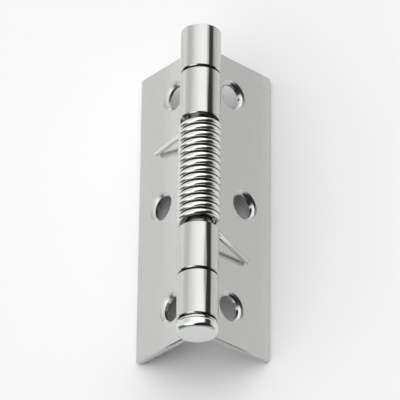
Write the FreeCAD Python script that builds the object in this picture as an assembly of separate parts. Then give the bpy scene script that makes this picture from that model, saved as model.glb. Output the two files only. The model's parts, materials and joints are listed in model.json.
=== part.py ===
# Spring loaded door hinge: two rolled sheet leaves, a headed pin with its washer, and a torsion spring
# round the pin between the inner knuckles. Millimetres, +Z up, the pin along Y with its head at -Y.
# The leaves are folded back as far as they go, so the hinge stands on their outer edges, barrel up.
# The origin is the middle of the hinge's footprint.

import FreeCAD, Part
import math
import os

from FreeCAD import Rotation, Vector

# Leaves, cut and rolled from one sheet each
leaf_length = 76.0
leaf_width = 26.6
sheet = 1.5
corner_radius = 0.5
edge_chamfer = 0.2

# Barrel
outer_knuckle_length = 11.2
knuckle_gap = 0.45
seam_gap = 0.15
notch_reach = 5.35
stop_clearance = 0.15

# Screw holes, three in each leaf, the middle one set further out
hole_diameter = 6.0
countersink_diameter = 7.8
countersink_angle = 100.0
end_hole_offset = 14.0
middle_hole_offset = 18.2
end_hole_inset = 9.8

# Pin and washer
pin_diameter = 6.5
pin_clearance = 0.05
pin_tail = 0.3
pin_tail_chamfer = 0.4
head_diameter = 9.9
head_height = 2.3
head_face_radius = 0.9
head_back_radius = 0.6
washer_diameter = 9.1
washer_thickness = 0.45
washer_bore_clearance = 0.1
washer_rim_chamfer = 0.12
washer_play = 0.4
head_play = 0.15

# Spring, one right-handed length of wire
wire_diameter = 1.4
coil_clearance = 0.4
coil_pitch = 1.855
full_turns = 14
spring_far_clearance = 0.15
spring_near_clearance = 0.7
far_leg_reach = 19.1
far_leg_splay = 4.5
near_leg_reach = 18.4
near_leg_splay = 8.0
leg_bend_radius = 1.4
leg_seat_clearance = 0.05

# Sizes that follow from the ones above
pin_radius = pin_diameter / 2
bore_radius = pin_radius + pin_clearance
barrel_radius = bore_radius + sheet
fold_angle = math.degrees(math.atan((notch_reach - stop_clearance) / barrel_radius))
wire_radius = wire_diameter / 2
coil_radius = pin_radius + coil_clearance + wire_radius

# Each leg is bent out square from the coil, so its line passes the pin's axis at the bend's radius
leg_tip_height = -bore_radius + wire_radius + leg_seat_clearance


def leg_slope(reach):
    """The angle below the level of a leg whose tip rests on the front of its folded leaf, in degrees."""
    rise = math.asin(leg_bend_radius / math.hypot(reach, leg_tip_height))
    return fold_angle + math.degrees(rise - math.atan2(leg_tip_height, reach))


far_leg_angle = leg_slope(far_leg_reach)
near_leg_angle = leg_slope(near_leg_reach)
coil_turns = full_turns + (180 - far_leg_angle - near_leg_angle) / 360
coil_length = coil_turns * coil_pitch

# Places along the pin, from the middle of the leaves
leaf_end = leaf_length / 2
outer_knuckle_start = leaf_end - outer_knuckle_length
inner_knuckle_end = outer_knuckle_start - knuckle_gap
far_window_edge = coil_length / 2 + wire_radius + spring_far_clearance
near_window_edge = -coil_length / 2 - wire_radius - spring_near_clearance
washer_top = -leaf_end - washer_play
head_top = washer_top - washer_thickness - head_play
head_face = head_top - head_height
pin_end = leaf_end + pin_tail

# The frame: the leaves' lowest edges on Z = 0, the footprint centred on the origin
fold = math.radians(fold_angle)
axis_height = (leaf_width * math.sin(fold) + barrel_radius * math.cos(fold)
               - edge_chamfer * min(math.sin(fold), math.cos(fold)))
axis_middle = Vector(0, -(pin_end + head_face) / 2, axis_height)


def on_circle(radius, degrees):
    """A point in the XZ plane on a circle about the pin's axis."""
    angle = math.radians(degrees)
    return Vector(radius * math.cos(angle), 0, radius * math.sin(angle))


def rounded_face(corners):
    """A flat face through (point, radius) corners in order, each rounded by its own radius."""
    edges = []
    starts = []
    ends = []
    for number, (point, radius) in enumerate(corners):
        if radius == 0:
            starts.append(point)
            ends.append(point)
            continue
        before = (corners[number - 1][0] - point).normalize()
        after = (corners[(number + 1) % len(corners)][0] - point).normalize()
        half_turn = before.getAngle(after) / 2
        reach = radius / math.tan(half_turn)
        middle = (before + after).normalize()
        starts.append(point + before * reach)
        ends.append(point + after * reach)
        crown = point + middle * (radius / math.sin(half_turn) - radius)
        edges.append(Part.Arc(starts[-1], crown, ends[-1]).toShape())
    for number in range(len(corners)):
        start = ends[number - 1]
        end = starts[number]
        if start.distanceToPoint(end) > 1e-6:
            edges.append(Part.makeLine(start, end))
    return Part.Face(Part.Wire(Part.__sortEdges__(edges)))


def leaf_plate():
    """The flat of a leaf in its own frame: the pin's axis on Y, the leaf towards +X, its front up."""
    back = -barrel_radius
    outline = rounded_face([
        (Vector(notch_reach, -leaf_end, back), 0),
        (Vector(leaf_width, -leaf_end, back), corner_radius),
        (Vector(leaf_width, leaf_end, back), corner_radius),
        (Vector(notch_reach, leaf_end, back), 0),
    ])
    plate = outline.extrude(Vector(0, 0, sheet))
    rim = [edge for edge in plate.Edges if edge.BoundBox.ZLength < 1e-6]
    return plate.makeChamfer(edge_chamfer, rim)


def knuckle(start, end):
    """One knuckle in the leaf's frame: a tab of the flat that is rolled round the pin's axis."""
    section = rounded_face([
        (Vector(0, start, -bore_radius), 0),
        (Vector(0, start, edge_chamfer - barrel_radius), 0),
        (Vector(0, start + edge_chamfer, -barrel_radius), 0),
        (Vector(0, end - edge_chamfer, -barrel_radius), 0),
        (Vector(0, end, edge_chamfer - barrel_radius), 0),
        (Vector(0, end, -bore_radius), 0),
    ])
    seam_angle = math.degrees(math.asin((bore_radius - seam_gap) / barrel_radius))
    roll = section.revolve(Vector(), Vector(0, 1, 0), 360 - (90 - seam_angle))
    tab = section.extrude(Vector(notch_reach + edge_chamfer, 0, 0))
    return [roll, tab]


def screw_hole(offset, along):
    """The tool that cuts one countersunk screw hole into a leaf, in the leaf's frame."""
    hole_radius = hole_diameter / 2
    sink_radius = countersink_diameter / 2
    spread = math.tan(math.radians(countersink_angle / 2))
    sink_depth = (sink_radius - hole_radius) / spread
    centre = Vector(offset, along, 0)
    up = Vector(0, 0, 1)
    drill = Part.makeCylinder(hole_radius, 2 * sheet, centre - up * (barrel_radius + sheet / 2), up)
    sink_foot = centre - up * (bore_radius + sink_depth)
    sink = Part.makeCone(hole_radius, sink_radius + sheet * spread, sink_depth + sheet, sink_foot, up)
    return drill.fuse(sink)


def leaf(knuckle_spans):
    """One leaf in its own frame, with its knuckles and its three screw holes."""
    rolled = [piece for start, end in knuckle_spans for piece in knuckle(start, end)]
    blank = leaf_plate().fuse(rolled)
    end_hole = leaf_end - end_hole_inset
    holes = [
        screw_hole(end_hole_offset, -end_hole),
        screw_hole(middle_hole_offset, 0),
        screw_hole(end_hole_offset, end_hole),
    ]
    return blank.cut(holes).Solids[0]


def turned(profile):
    """A solid of revolution about the pin's axis, from (radius, place along Y, rounding) corners."""
    face = rounded_face([(Vector(radius, along, 0), rounding) for radius, along, rounding in profile])
    return face.revolve(Vector(), Vector(0, 1, 0), 360)


def hinge_pin():
    """The pin: a low head with a rounded face, a plain shank and a chamfered tail."""
    head_radius = head_diameter / 2
    return turned([
        (0, head_face, 0),
        (head_radius, head_face, head_face_radius),
        (head_radius, head_top, head_back_radius),
        (pin_radius, head_top, 0),
        (pin_radius, pin_end - pin_tail_chamfer, 0),
        (pin_radius - pin_tail_chamfer, pin_end, 0),
        (0, pin_end, 0),
    ])


def pin_washer():
    """The thin ring between the pin's head and the nearest knuckle."""
    outer = washer_diameter / 2
    bore = pin_radius + washer_bore_clearance
    bottom = washer_top - washer_thickness
    return turned([
        (bore, bottom, 0),
        (outer - washer_rim_chamfer, bottom, 0),
        (outer, bottom + washer_rim_chamfer, 0),
        (outer, washer_top - washer_rim_chamfer, 0),
        (outer - washer_rim_chamfer, washer_top, 0),
        (bore, washer_top, 0),
    ])


def leg_path(root, coil_direction, outward, along, leg_reach, leg_splay):
    """The bend and the straight leg that carry on from one end of the coil."""
    splay = math.radians(leg_splay)
    leg_direction = outward * math.cos(splay) + along * math.sin(splay)
    turn = coil_direction.getAngle(leg_direction)
    inward = (leg_direction - coil_direction * math.cos(turn)).normalize()
    centre = root + inward * leg_bend_radius

    def bend_point(angle):
        return centre + (coil_direction * math.sin(angle) - inward * math.cos(angle)) * leg_bend_radius

    bend = Part.Arc(root, bend_point(turn / 2), bend_point(turn)).toShape()
    foot = bend_point(turn)
    tip_distance = math.hypot(leg_reach, leg_tip_height)
    straight_reach = math.sqrt(tip_distance ** 2 - leg_bend_radius ** 2)
    length = (straight_reach - foot.dot(outward)) / math.cos(splay)
    return bend, Part.makeLine(foot, foot + leg_direction * length)


def wire_section(centre, facing):
    """The round section of the wire, as four quarter arcs."""
    across = facing.cross(Vector(0, 1, 0)).normalize()
    over = facing.cross(across)
    rim = []
    for eighth in range(9):
        angle = math.radians(45 * eighth)
        rim.append(centre + (across * math.cos(angle) + over * math.sin(angle)) * wire_radius)
    quarters = [Part.Arc(*rim[first:first + 3]).toShape() for first in (0, 2, 4, 6)]
    return Part.Wire(quarters)


def torsion_spring():
    """The spring: round wire swept along a leg, the coil's helix and the other leg."""
    coil = Part.makeHelix(coil_pitch, coil_length, coil_radius)
    coil.rotate(Vector(), Vector(0, 0, 1), near_leg_angle)
    coil.rotate(Vector(), Vector(1, 0, 0), -90)
    coil.translate(Vector(0, -coil_length / 2, 0))
    lead = math.atan(coil_pitch / (2 * math.pi * coil_radius))
    legs = [
        (-1, near_leg_angle, near_leg_reach, near_leg_splay),
        (1, far_leg_angle, far_leg_reach, far_leg_splay),
    ]
    ends = []
    for side, slope, reach, splay in legs:
        degrees = 270 + side * (slope - 90)
        root = on_circle(coil_radius, degrees) + Vector(0, side * coil_length / 2, 0)
        outward = on_circle(1, degrees)
        around = on_circle(1, degrees - 90)
        direction = (around * math.cos(lead) + Vector(0, math.sin(lead), 0)) * side
        ends.append(leg_path(root, direction, outward, Vector(0, side, 0), reach, splay))
    (near_bend, near_leg), (far_bend, far_leg) = ends
    path = Part.Wire(Part.__sortEdges__([near_leg, near_bend, coil.Edges[0], far_bend, far_leg]))
    tip = near_leg.Vertexes[1].Point
    inwards = (near_leg.Vertexes[0].Point - tip).normalize()
    return path.makePipeShell([wire_section(tip, inwards)], True, False)


outer_leaf = leaf([(-leaf_end, -outer_knuckle_start), (outer_knuckle_start, leaf_end)])
inner_leaf = leaf([(-inner_knuckle_end, near_window_edge), (far_window_edge, inner_knuckle_end)])

# The leaves fold back about the pin's axis, one to each side
outer_leaf.rotate(Vector(), Vector(0, 0, 1), 180)
outer_leaf.rotate(Vector(), Vector(0, 1, 0), -fold_angle)
inner_leaf.rotate(Vector(), Vector(0, 1, 0), fold_angle)

pieces = {
    "outer_knuckle_leaf": outer_leaf,
    "inner_knuckle_leaf": inner_leaf,
    "hinge_pin": hinge_pin(),
    "pin_washer": pin_washer(),
    "torsion_spring": torsion_spring(),
}

os.makedirs("parts", exist_ok=True)
for name, shape in pieces.items():
    shape.translate(axis_middle)
    shape.exportStep(f"parts/{name}.step")
    print(name, shape.ShapeType, shape.isValid(), round(shape.Volume, 2), len(shape.Faces))
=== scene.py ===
# Spring loaded door hinge, bright nickel plated, standing like a tent on the outer edges of its leaves.
# The pieces come in the order in which the hinge is put together, then the floor, the light and the camera.

import math

import bmesh
import bpy
from mathutils import Euler, Matrix, Vector
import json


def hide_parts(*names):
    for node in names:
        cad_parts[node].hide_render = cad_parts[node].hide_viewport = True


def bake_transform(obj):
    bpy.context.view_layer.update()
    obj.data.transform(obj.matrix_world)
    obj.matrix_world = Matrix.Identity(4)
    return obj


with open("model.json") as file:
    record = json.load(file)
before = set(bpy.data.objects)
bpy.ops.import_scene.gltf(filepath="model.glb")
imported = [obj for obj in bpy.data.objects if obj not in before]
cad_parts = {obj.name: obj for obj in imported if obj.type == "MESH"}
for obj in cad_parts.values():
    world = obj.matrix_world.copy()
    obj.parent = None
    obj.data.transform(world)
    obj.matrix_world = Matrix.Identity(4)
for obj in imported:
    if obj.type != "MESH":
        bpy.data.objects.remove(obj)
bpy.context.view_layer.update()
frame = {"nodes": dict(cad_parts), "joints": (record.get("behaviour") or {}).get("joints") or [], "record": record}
nodes = frame["nodes"]
mm = 0.001

# The two leaves: cold rolled steel sheet, blanked, countersunk and rolled into knuckles, then nickel plated and
# polished nearly to a mirror. Under the plate are the faint lengthwise lines of the sheet, the creases that
# rolling left along the knuckles, and the rings of the tool that sank the screw holes, slightly dished.
pin_axis = Vector(frame["joints"][0]["pos_m"])


def from_hex(code):
    """A colour written as sRGB hex, in the linear values that a shader takes."""
    channels = [int(code[place:place + 2], 16) / 255 for place in (0, 2, 4)]
    linear = [c / 12.92 if c <= 0.04045 else ((c + 0.055) / 1.055) ** 2.4 for c in channels]
    return (*linear, 1)


def add_node(tree, kind, settings=None, inputs=None):
    """Adds one node with its settings, and sets or links its inputs, by name or by number."""
    node = tree.nodes.new(kind)
    for name, value in (settings or {}).items():
        setattr(node, name, value)
    for name, value in (inputs or {}).items():
        if isinstance(value, bpy.types.NodeSocket):
            tree.links.new(value, node.inputs[name])
        else:
            node.inputs[name].default_value = value
    return node


def new_material(name):
    """An empty node material and the surface socket of its output."""
    material = bpy.data.materials.new(name)
    material.use_nodes = True
    tree = material.node_tree
    tree.nodes.clear()
    output = tree.nodes.new("ShaderNodeOutputMaterial")
    return material, tree, output.inputs["Surface"]


def rolled_sheet_plating(leaf):
    """Bright nickel plate on one leaf, with the marks of rolling, forming and countersinking under it."""
    mottle_size = 4 * mm
    line_spacing = 0.25 * mm
    line_length = 12 * mm
    line_height = 0.002 * mm
    knuckle_radius = 4.9 * mm
    knuckle_fade = 0.3 * mm
    crease_spacing = 1.6 * mm
    crease_length = 25 * mm
    crease_height = 0.09 * mm
    hole_radius = 3 * mm
    sink_radius = 3.95 * mm
    wall_end = 0.3 * mm
    sink_fade = 0.05 * mm
    sink_roughness = 0.18
    dish_curve = 0.65 / mm
    ring_spacing = 0.42 * mm
    ring_height = 0.007 * mm
    material, tree, surface = new_material("bright_nickel_plate_on_" + leaf)
    place = add_node(tree, "ShaderNodeTexCoord").outputs["Object"]

    # The plate's tone and sheen, a little uneven
    mottle = add_node(tree, "ShaderNodeTexNoise", inputs={
        "Vector": place, "Scale": 1 / mottle_size, "Detail": 3.0, "Roughness": 0.55}).outputs["Fac"]
    tone = add_node(tree, "ShaderNodeMix", {"data_type": "RGBA"}, {
        "Factor": mottle, "A": from_hex("C4C4C2"), "B": from_hex("CACAC8")}).outputs["Result"]
    sheen = add_node(tree, "ShaderNodeMapRange", inputs={
        "Value": mottle, "From Min": 0.3, "From Max": 0.7, "To Min": 0.10, "To Max": 0.14}).outputs["Result"]

    # How far a point is from the nearest hole's axis, and its height above the middle of the holes' straight
    # walls, which is the same for all three holes of a leaf
    from_hole = 1.0
    for bore in frame["record"]["mounts"]:
        if bore["kind"] == "bore" and bore["name"].startswith(leaf):
            away = add_node(tree, "ShaderNodeVectorMath", {"operation": "SUBTRACT"}, {
                0: place, 1: bore["pos_m"]}).outputs["Vector"]
            across = add_node(tree, "ShaderNodeVectorMath", {"operation": "CROSS_PRODUCT"}, {
                0: away, 1: bore["axis"]}).outputs["Vector"]
            radius = add_node(tree, "ShaderNodeVectorMath", {"operation": "LENGTH"}, {0: across}).outputs["Value"]
            from_hole = add_node(tree, "ShaderNodeMath", {"operation": "MINIMUM"}, {
                0: from_hole, 1: radius}).outputs["Value"]
            height = add_node(tree, "ShaderNodeVectorMath", {"operation": "DOT_PRODUCT"}, {
                0: away, 1: bore["axis"]}).outputs["Value"]
    inside = add_node(tree, "ShaderNodeMapRange", inputs={
        "Value": from_hole, "From Min": sink_radius, "From Max": sink_radius - sink_fade}).outputs["Result"]
    above = add_node(tree, "ShaderNodeMapRange", inputs={
        "Value": height, "From Min": wall_end, "From Max": wall_end + sink_fade}).outputs["Result"]
    in_sink = add_node(tree, "ShaderNodeMath", {"operation": "MULTIPLY"}, {0: inside, 1: above}).outputs["Value"]
    roughness = add_node(tree, "ShaderNodeMix", {"data_type": "FLOAT"}, {
        "Factor": in_sink, "A": sheen, "B": sink_roughness}).outputs["Result"]

    # The lines of the rolled sheet, everywhere
    along_sheet = add_node(tree, "ShaderNodeMapping", inputs={
        "Vector": place, "Scale": (1 / line_spacing, 1 / line_length, 1 / line_spacing)}).outputs["Vector"]
    lines = add_node(tree, "ShaderNodeTexNoise", inputs={
        "Vector": along_sheet, "Scale": 1.0, "Detail": 2.0, "Roughness": 0.5}).outputs["Fac"]
    relief = add_node(tree, "ShaderNodeBump", inputs={
        "Height": lines, "Strength": 0.25, "Distance": line_height}).outputs["Normal"]

    # The creases, on the knuckles alone
    from_pin = add_node(tree, "ShaderNodeVectorMath", {"operation": "SUBTRACT"}, {
        0: place, 1: pin_axis}).outputs["Vector"]
    across_pin = add_node(tree, "ShaderNodeVectorMath", {"operation": "MULTIPLY"}, {
        0: from_pin, 1: (1, 0, 1)}).outputs["Vector"]
    reach = add_node(tree, "ShaderNodeVectorMath", {"operation": "LENGTH"}, {0: across_pin}).outputs["Value"]
    on_knuckle = add_node(tree, "ShaderNodeMapRange", inputs={
        "Value": reach, "From Min": knuckle_radius + knuckle_fade, "From Max": knuckle_radius}).outputs["Result"]
    along_knuckle = add_node(tree, "ShaderNodeMapping", inputs={
        "Vector": place, "Scale": (1 / crease_spacing, 1 / crease_length, 1 / crease_spacing)}).outputs["Vector"]
    creases = add_node(tree, "ShaderNodeTexNoise", inputs={
        "Vector": along_knuckle, "Scale": 1.0, "Detail": 1.0, "Roughness": 0.5}).outputs["Fac"]
    rolled = add_node(tree, "ShaderNodeBump", inputs={
        "Height": creases, "Strength": on_knuckle, "Distance": crease_height, "Normal": relief}).outputs["Normal"]

    # The rings and the dish, in the countersinks alone
    turns = add_node(tree, "ShaderNodeMath", {"operation": "MULTIPLY"}, {
        0: from_hole, 1: 2 * math.pi / ring_spacing}).outputs["Value"]
    rings = add_node(tree, "ShaderNodeMath", {"operation": "SINE"}, {0: turns}).outputs["Value"]
    up_the_wall = add_node(tree, "ShaderNodeMath", {"operation": "SUBTRACT"}, {
        0: from_hole, 1: hole_radius}).outputs["Value"]
    squared = add_node(tree, "ShaderNodeMath", {"operation": "POWER"}, {0: up_the_wall, 1: 2.0}).outputs["Value"]
    dish = add_node(tree, "ShaderNodeMath", {"operation": "MULTIPLY"}, {
        0: squared, 1: -dish_curve / 2}).outputs["Value"]
    worked = add_node(tree, "ShaderNodeMath", {"operation": "MULTIPLY_ADD"}, {
        0: rings, 1: ring_height, 2: dish}).outputs["Value"]
    turned = add_node(tree, "ShaderNodeBump", inputs={
        "Height": worked, "Strength": in_sink, "Distance": 1.0, "Normal": rolled}).outputs["Normal"]

    metal = add_node(tree, "ShaderNodeBsdfPrincipled", inputs={
        "Base Color": tone, "Metallic": 1.0, "Roughness": roughness, "Normal": turned})
    tree.links.new(metal.outputs["BSDF"], surface)
    return material


def finish_with(node, material):
    """Gives a node of the frame its finish."""
    for place in range(len(node.data.materials)):
        node.data.materials[place] = material


finish_with(nodes["outer_knuckle_leaf"], rolled_sheet_plating("outer_leaf"))
finish_with(nodes["inner_knuckle_leaf"], rolled_sheet_plating("inner_leaf"))

# The spring: one length of hard drawn steel wire, coiled round the pin between the inner knuckles, with a leg
# bent out square at each end to press on the front of one leaf. The wire is plated as bright as the leaves
# and is the shiniest piece, because drawing leaves it smoother than rolled sheet.
wire_radius = 0.7 * mm
coil_radius = 4.35 * mm
coil_pitch = 1.855 * mm
full_turns = 14
far_leg_reach = 19.1 * mm
far_leg_splay = math.radians(4.5)
near_leg_reach = 18.4 * mm
near_leg_splay = math.radians(8)
leg_bend_radius = 1.4 * mm
leaf_fold = math.radians(47.29)
leaf_front = 3.3 * mm
leg_seat_clearance = 0.05 * mm
leg_tip_height = wire_radius + leg_seat_clearance - leaf_front
cut_rim = 0.08 * mm
cut_dome = 0.04 * mm
weld_distance = 0.001 * mm
wire_sides = 16
steps_per_turn = 56
steps_per_bend = 10


def drawn_wire_plating():
    """Bright nickel plate on drawn wire, almost a mirror, with a trace of unevenness."""
    ripple_size = 1.2 * mm
    material, tree, surface = new_material("bright_nickel_plate_on_drawn_wire")
    place = add_node(tree, "ShaderNodeTexCoord").outputs["Object"]
    ripple = add_node(tree, "ShaderNodeTexNoise", inputs={
        "Vector": place, "Scale": 1 / ripple_size, "Detail": 2.0, "Roughness": 0.5}).outputs["Fac"]
    tone = add_node(tree, "ShaderNodeMix", {"data_type": "RGBA"}, {
        "Factor": ripple, "A": from_hex("DADAD8"), "B": from_hex("DEDEDC")}).outputs["Result"]
    sheen = add_node(tree, "ShaderNodeMapRange", inputs={
        "Value": ripple, "From Min": 0.3, "From Max": 0.7, "To Min": 0.03, "To Max": 0.06}).outputs["Result"]
    metal = add_node(tree, "ShaderNodeBsdfPrincipled", inputs={
        "Base Color": tone, "Metallic": 1.0, "Roughness": sheen})
    tree.links.new(metal.outputs["BSDF"], surface)
    return material


def round_the_pin(radius, angle, along):
    """A point about the pin's axis, at an angle from +X towards +Z and a place along the pin."""
    return pin_axis + Vector((radius * math.cos(angle), along, radius * math.sin(angle)))


def coil_heading(angle):
    """The way the wire runs in the coil, towards its far end, at an angle about the pin."""
    around = Vector((math.sin(angle), 0, -math.cos(angle)))
    return around * math.cos(lead) + Vector((0, math.sin(lead), 0))


def leg_slope(reach):
    """The angle below the level of a leg whose tip rests on the front of its folded leaf."""
    rise = math.asin(leg_bend_radius / math.hypot(reach, leg_tip_height))
    return leaf_fold + rise - math.atan2(leg_tip_height, reach)


def sweep_leg(mesh, rim, root, coil_direction, outward, along, leg_reach, leg_splay):
    """Carries the wire on from one end of the coil: a tight bend, the straight leg and its cut end."""
    leg_direction = outward * math.cos(leg_splay) + along * math.sin(leg_splay)
    turn = coil_direction.angle(leg_direction)
    inward = (leg_direction - coil_direction * math.cos(turn)).normalized()
    centre = root + inward * leg_bend_radius
    bend = bmesh.ops.spin(mesh, geom=rim, cent=centre, axis=coil_direction.cross(inward),
                          angle=turn, steps=steps_per_bend)
    rim = [part for part in bend["geom_last"] if isinstance(part, bmesh.types.BMEdge)]
    foot = centre + (coil_direction * math.sin(turn) - inward * math.cos(turn)) * leg_bend_radius
    tip_distance = math.hypot(leg_reach, leg_tip_height)
    straight_reach = math.sqrt(tip_distance ** 2 - leg_bend_radius ** 2)
    length = (straight_reach - (foot - pin_axis).dot(outward)) / math.cos(leg_splay)
    stretched = bmesh.ops.extrude_edge_only(mesh, edges=rim)["geom"]
    tip_points = [part for part in stretched if isinstance(part, bmesh.types.BMVert)]
    bmesh.ops.translate(mesh, verts=tip_points, vec=leg_direction * length)
    rim = [part for part in stretched if isinstance(part, bmesh.types.BMEdge)]
    rim = [edge for edge in rim if all(point in tip_points for point in edge.verts)]
    cut = bmesh.ops.edgeloop_fill(mesh, edges=rim)["faces"]
    bmesh.ops.inset_region(mesh, faces=cut, thickness=cut_rim, depth=cut_dome)


near_slope = leg_slope(near_leg_reach)
far_slope = leg_slope(far_leg_reach)
coil_angle = 2 * math.pi * full_turns + math.pi - near_slope - far_slope
coil_length = coil_pitch * coil_angle / (2 * math.pi)
lead = math.atan(coil_pitch / (2 * math.pi * coil_radius))
near_root = round_the_pin(coil_radius, -near_slope, -coil_length / 2)
far_root = round_the_pin(coil_radius, math.pi + far_slope, coil_length / 2)
near_heading = coil_heading(-near_slope)
far_heading = coil_heading(math.pi + far_slope)
near_outward = Vector((math.cos(near_slope), 0, -math.sin(near_slope)))
far_outward = Vector((-math.cos(far_slope), 0, -math.sin(far_slope)))

# The coil is a ring of wire spun round the pin from the near end, and each leg is swept on from one end of it
wire = bmesh.new()
upright = near_heading.to_track_quat("Z", "Y").to_matrix().to_4x4()
bmesh.ops.create_circle(wire, segments=wire_sides, radius=wire_radius,
                        matrix=Matrix.Translation(near_root) @ upright)
first_rim = list(wire.edges)
steps = round(steps_per_turn * coil_angle / (2 * math.pi))
coil = bmesh.ops.spin(wire, geom=first_rim, cent=pin_axis, axis=(0, 1, 0), angle=coil_angle,
                      dvec=(0, coil_length / steps, 0), steps=steps)
last_rim = [part for part in coil["geom_last"] if isinstance(part, bmesh.types.BMEdge)]
sweep_leg(wire, last_rim, far_root, far_heading, far_outward, Vector((0, 1, 0)), far_leg_reach, far_leg_splay)
sweep_leg(wire, first_rim, near_root, -near_heading, near_outward, Vector((0, -1, 0)), near_leg_reach,
          near_leg_splay)
bmesh.ops.remove_doubles(wire, verts=wire.verts, dist=weld_distance)
bmesh.ops.recalc_face_normals(wire, faces=wire.faces)
for face in wire.faces:
    face.smooth = len(face.verts) == 4
wire_mesh = bpy.data.meshes.new("torsion_spring_wire")
wire.to_mesh(wire_mesh)
wire.free()
spring = bpy.data.objects.new("torsion_spring_wire", wire_mesh)
bpy.context.collection.objects.link(spring)
wire_mesh.materials.append(drawn_wire_plating())
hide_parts("torsion_spring")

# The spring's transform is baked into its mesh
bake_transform(spring)

# The pin: turned from steel bar with a low round head, which is plated, and pushed through the knuckles.
# The head shows the finest turning marks of the set, as rings about the axis, under a soft bright plate.
# The shank inside the barrel is painted a dark grey as painted shade, so the gaps at the ends of the coil look
# dark.


def turned_steel_plating_with_painted_shade():
    """Turned steel with faint rings about the pin's axis, nickel plated up to the first knuckle, with the shank
    past it painted dark grey as painted shade.
    """
    ring_spacing = 0.3 * mm
    ring_height = 0.002 * mm
    no_change_along = 10
    painted_shade_start = -36.7 * mm
    painted_shade_fade = 0.1 * mm
    material, tree, surface = new_material("turned_steel_plate_and_painted_shank_shade")
    place = add_node(tree, "ShaderNodeTexCoord").outputs["Object"]
    about_pin = add_node(tree, "ShaderNodeMapping", {"vector_type": "TEXTURE"}, {
        "Vector": place, "Location": pin_axis,
        "Scale": (ring_spacing, no_change_along, ring_spacing)}).outputs["Vector"]
    rings = add_node(tree, "ShaderNodeTexWave", {
        "wave_type": "RINGS", "rings_direction": "Y", "wave_profile": "SIN"}, {
        "Vector": about_pin, "Scale": 0.5, "Distortion": 0.4, "Detail": 1.0}).outputs["Fac"]
    relief = add_node(tree, "ShaderNodeBump", inputs={
        "Height": rings, "Strength": 0.15, "Distance": ring_height}).outputs["Normal"]
    along_pin = add_node(tree, "ShaderNodeSeparateXYZ", inputs={"Vector": place}).outputs["Y"]
    # Past the first knuckle the shank is painted dark grey: painted shade for the gaps at the ends of the coil
    shank_painted_shade = add_node(tree, "ShaderNodeMapRange", inputs={
        "Value": along_pin, "From Min": painted_shade_start, "From Max": painted_shade_start + painted_shade_fade}).outputs["Result"]
    tone = add_node(tree, "ShaderNodeMix", {"data_type": "RGBA"}, {
        "Factor": shank_painted_shade, "A": from_hex("DCDFDB"), "B": from_hex("7E7C79")}).outputs["Result"]
    sheen = add_node(tree, "ShaderNodeMapRange", inputs={
        "Value": shank_painted_shade, "To Min": 0.12, "To Max": 0.22}).outputs["Result"]
    metal = add_node(tree, "ShaderNodeBsdfPrincipled", inputs={
        "Base Color": tone, "Metallic": 1.0, "Roughness": sheen, "Normal": relief})
    tree.links.new(metal.outputs["BSDF"], surface)
    return material


pin_plating_and_painted_shade = turned_steel_plating_with_painted_shade()
finish_with(nodes["hinge_pin"], pin_plating_and_painted_shade)

# The washer: a thin steel ring punched from sheet, which keeps the pin's head off the end knuckle.
# It was plated with the pin's head and has the same bright finish.
finish_with(nodes["pin_washer"], pin_plating_and_painted_shade)

# The floor: a sheet of matt white card on a dark table, just larger than the picture. It keeps the soft
# shadow of the hinge, and the metal mirrors it, with the dark of the table beyond its near edge.
card_size = 130 * mm
card_centre = Vector((0, 5 * mm, 0))


def white_card():
    """Matt white card, as light as paper gets."""
    material, tree, surface = new_material("matt_white_card")
    matt = add_node(tree, "ShaderNodeBsdfDiffuse", inputs={"Color": from_hex("FDFDFD")})
    tree.links.new(matt.outputs["BSDF"], surface)
    return material


card = bmesh.new()
bmesh.ops.create_grid(card, x_segments=1, y_segments=1, size=card_size / 2,
                      matrix=Matrix.Translation(card_centre))
card_mesh = bpy.data.meshes.new("floor")
card.to_mesh(card_mesh)
card.free()
floor = bpy.data.objects.new("floor", card_mesh)
bpy.context.collection.objects.link(floor)
card_mesh.materials.append(white_card())

# The light: a pale room with a large soft panel overhead, which carries on down to the left, and a dark gap
# between the panel and the right wall. Low down in front the walls are dark too, and the polished metal
# mirrors all this. The camera sees a plain white backdrop instead.
room_brightness = 1.92

# Brightness on the panel's side of its edge and on the gap's side, at angles round the pin's axis, in degrees
# from straight up towards the right, in the back, the middle and the front of the room
panel_side_back = [(-180, 0.86), (-92, 0.86), (-78, 0.64), (-55, 0.60), (-28, 0.93), (-4, 1.12), (12, 1.17),
                   (180, 1.05)]
panel_side_middle = [(-180, 0.40), (-105, 0.40), (-88, 0.75), (-75, 0.88), (-30, 0.92), (-12, 1.20), (180, 1.20)]
panel_side_front = [(-180, 0.40), (-125, 0.40), (-108, 0.06), (-90, 0.06), (-80, 0.22), (-70, 0.75),
                    (-62, 1.20), (-30, 1.32), (0, 1.15), (180, 1.15)]
gap_side_back = [(-180, 0.03), (74, 0.03), (84, 0.50), (91, 0.61), (180, 0.78)]
gap_side_middle = [(-180, 0.03), (72, 0.04), (84, 0.62), (90, 0.84), (180, 0.80)]
gap_side_front = [(-180, 0.01), (88, 0.02), (106, 0.32), (125, 0.45), (180, 0.45)]

# What changes with the depth, which goes from -1 at the front wall to 1 at the back wall: how much of the
# middle and of the front counts, the angle of the panel's edge, the gap's end, and the dimmer end walls
middle_from, middle_to = 0.50, 0.10
front_from, front_to = 0.0, -0.35
panel_edge = [(-1.0, -40), (-0.90, -30), (-0.81, -22), (-0.68, -14), (-0.53, -5), (-0.38, 5), (-0.20, 16),
              (0.02, 29), (0.28, 40), (0.47, 44), (1.0, 50)]
panel_edge_blur = 9
gap_end = [(-1.0, 0.0), (0.52, 0.0), (0.72, 1.0), (1.0, 1.0)]
past_gap_end = (0.6, 0.6, 0.6, 1)
end_walls = [(-1.0, 0.07), (-0.94, 0.40), (-0.85, 0.67), (0.80, 0.67), (1.0, 1.0)]

world = bpy.data.worlds.new("studio")
world.use_nodes = True
bpy.context.scene.world = world
room = world.node_tree
room.nodes.clear()


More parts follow.
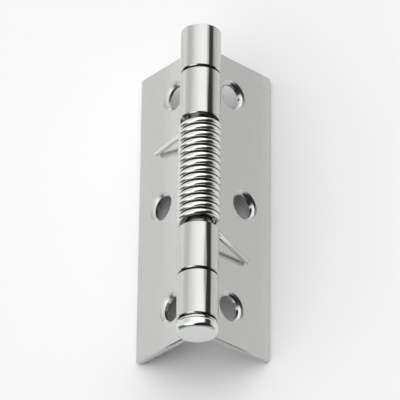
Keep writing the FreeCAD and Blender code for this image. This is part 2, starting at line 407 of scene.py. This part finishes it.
def graph(place, stops):
    """A value that changes with a place, through (place, value) stops, as a grey ramp."""
    first = stops[0][0]
    last = stops[-1][0]
    along = add_node(room, "ShaderNodeMapRange", inputs={"Value": place, "From Min": first, "From Max": last})
    node = add_node(room, "ShaderNodeValToRGB", inputs={"Fac": along.outputs["Result"]})
    points = node.color_ramp.elements
    while len(points) < len(stops):
        points.new(0.5)
    for point, (where, value) in zip(points, stops):
        point.position = (where - first) / (last - first)
        point.color = (value, value, value, 1)
    return node.outputs["Color"]


def blend(share, this, other):
    """One value where the share is 0 and the other where it is 1."""
    return add_node(room, "ShaderNodeMix", {"data_type": "RGBA"}, {
        "Factor": share, "A": this, "B": other}).outputs["Result"]


direction = add_node(room, "ShaderNodeTexCoord").outputs["Generated"]
apart = add_node(room, "ShaderNodeSeparateXYZ", inputs={"Vector": direction})
depth = apart.outputs["Y"]
around = add_node(room, "ShaderNodeMath", {"operation": "ARCTAN2"}, {
    0: apart.outputs["X"], 1: apart.outputs["Z"]}).outputs["Value"]
turn = add_node(room, "ShaderNodeMapRange", {"clamp": False}, {
    "Value": around, "From Max": math.pi, "To Max": 180.0}).outputs["Result"]
to_middle = add_node(room, "ShaderNodeMapRange", inputs={
    "Value": depth, "From Min": middle_from, "From Max": middle_to}).outputs["Result"]
to_front = add_node(room, "ShaderNodeMapRange", inputs={
    "Value": depth, "From Min": front_from, "From Max": front_to}).outputs["Result"]
panel_side = blend(to_front, blend(to_middle, graph(turn, panel_side_back), graph(turn, panel_side_middle)),
                   graph(turn, panel_side_front))
open_gap = blend(to_front, blend(to_middle, graph(turn, gap_side_back), graph(turn, gap_side_middle)),
                 graph(turn, gap_side_front))
gap_side = blend(graph(depth, gap_end), open_gap, past_gap_end)
edge_share = graph(depth, [(where, (degrees + 180) / 360) for where, degrees in panel_edge])
edge_turn = add_node(room, "ShaderNodeMapRange", {"clamp": False}, {
    "Value": edge_share, "To Min": -180.0, "To Max": 180.0}).outputs["Result"]
past_edge = add_node(room, "ShaderNodeMath", {"operation": "SUBTRACT"}, {0: turn, 1: edge_turn}).outputs["Value"]
in_gap = add_node(room, "ShaderNodeMapRange", {"interpolation_type": "SMOOTHSTEP"}, {
    "Value": past_edge, "From Min": -panel_edge_blur, "From Max": panel_edge_blur}).outputs["Result"]
dimmed = add_node(room, "ShaderNodeMix", {"data_type": "RGBA", "blend_type": "MULTIPLY"}, {
    "Factor": 1.0, "A": blend(in_gap, panel_side, gap_side), "B": graph(depth, end_walls)}).outputs["Result"]
lit_room = add_node(room, "ShaderNodeBackground", inputs={"Color": dimmed, "Strength": room_brightness})
backdrop = add_node(room, "ShaderNodeBackground", inputs={"Color": from_hex("F9F9F9")})
seen = add_node(room, "ShaderNodeLightPath").outputs["Is Camera Ray"]
either = add_node(room, "ShaderNodeMixShader", inputs={
    "Fac": seen, 1: lit_room.outputs["Background"], 2: backdrop.outputs["Background"]})
add_node(room, "ShaderNodeOutputWorld", inputs={"Surface": either.outputs["Shader"]})

# The camera: a long lens, looking down at the head end of the pin
camera_place = Vector((45.972, -403.644, 764.276)) * mm
camera_turn = [math.radians(angle) for angle in (28.238, 3.166, 0.674)]
focal_length = 328.3
sensor_width = 36
farthest_seen = 20
lens_data = bpy.data.cameras.new("camera")
lens_data.lens = focal_length
lens_data.sensor_width = sensor_width
lens_data.clip_end = farthest_seen
camera = bpy.data.objects.new("camera", lens_data)
bpy.context.collection.objects.link(camera)
camera.location = camera_place
camera.rotation_euler = Euler(camera_turn)
bpy.context.scene.camera = camera
bpy.context.scene.view_settings.view_transform = "Standard"
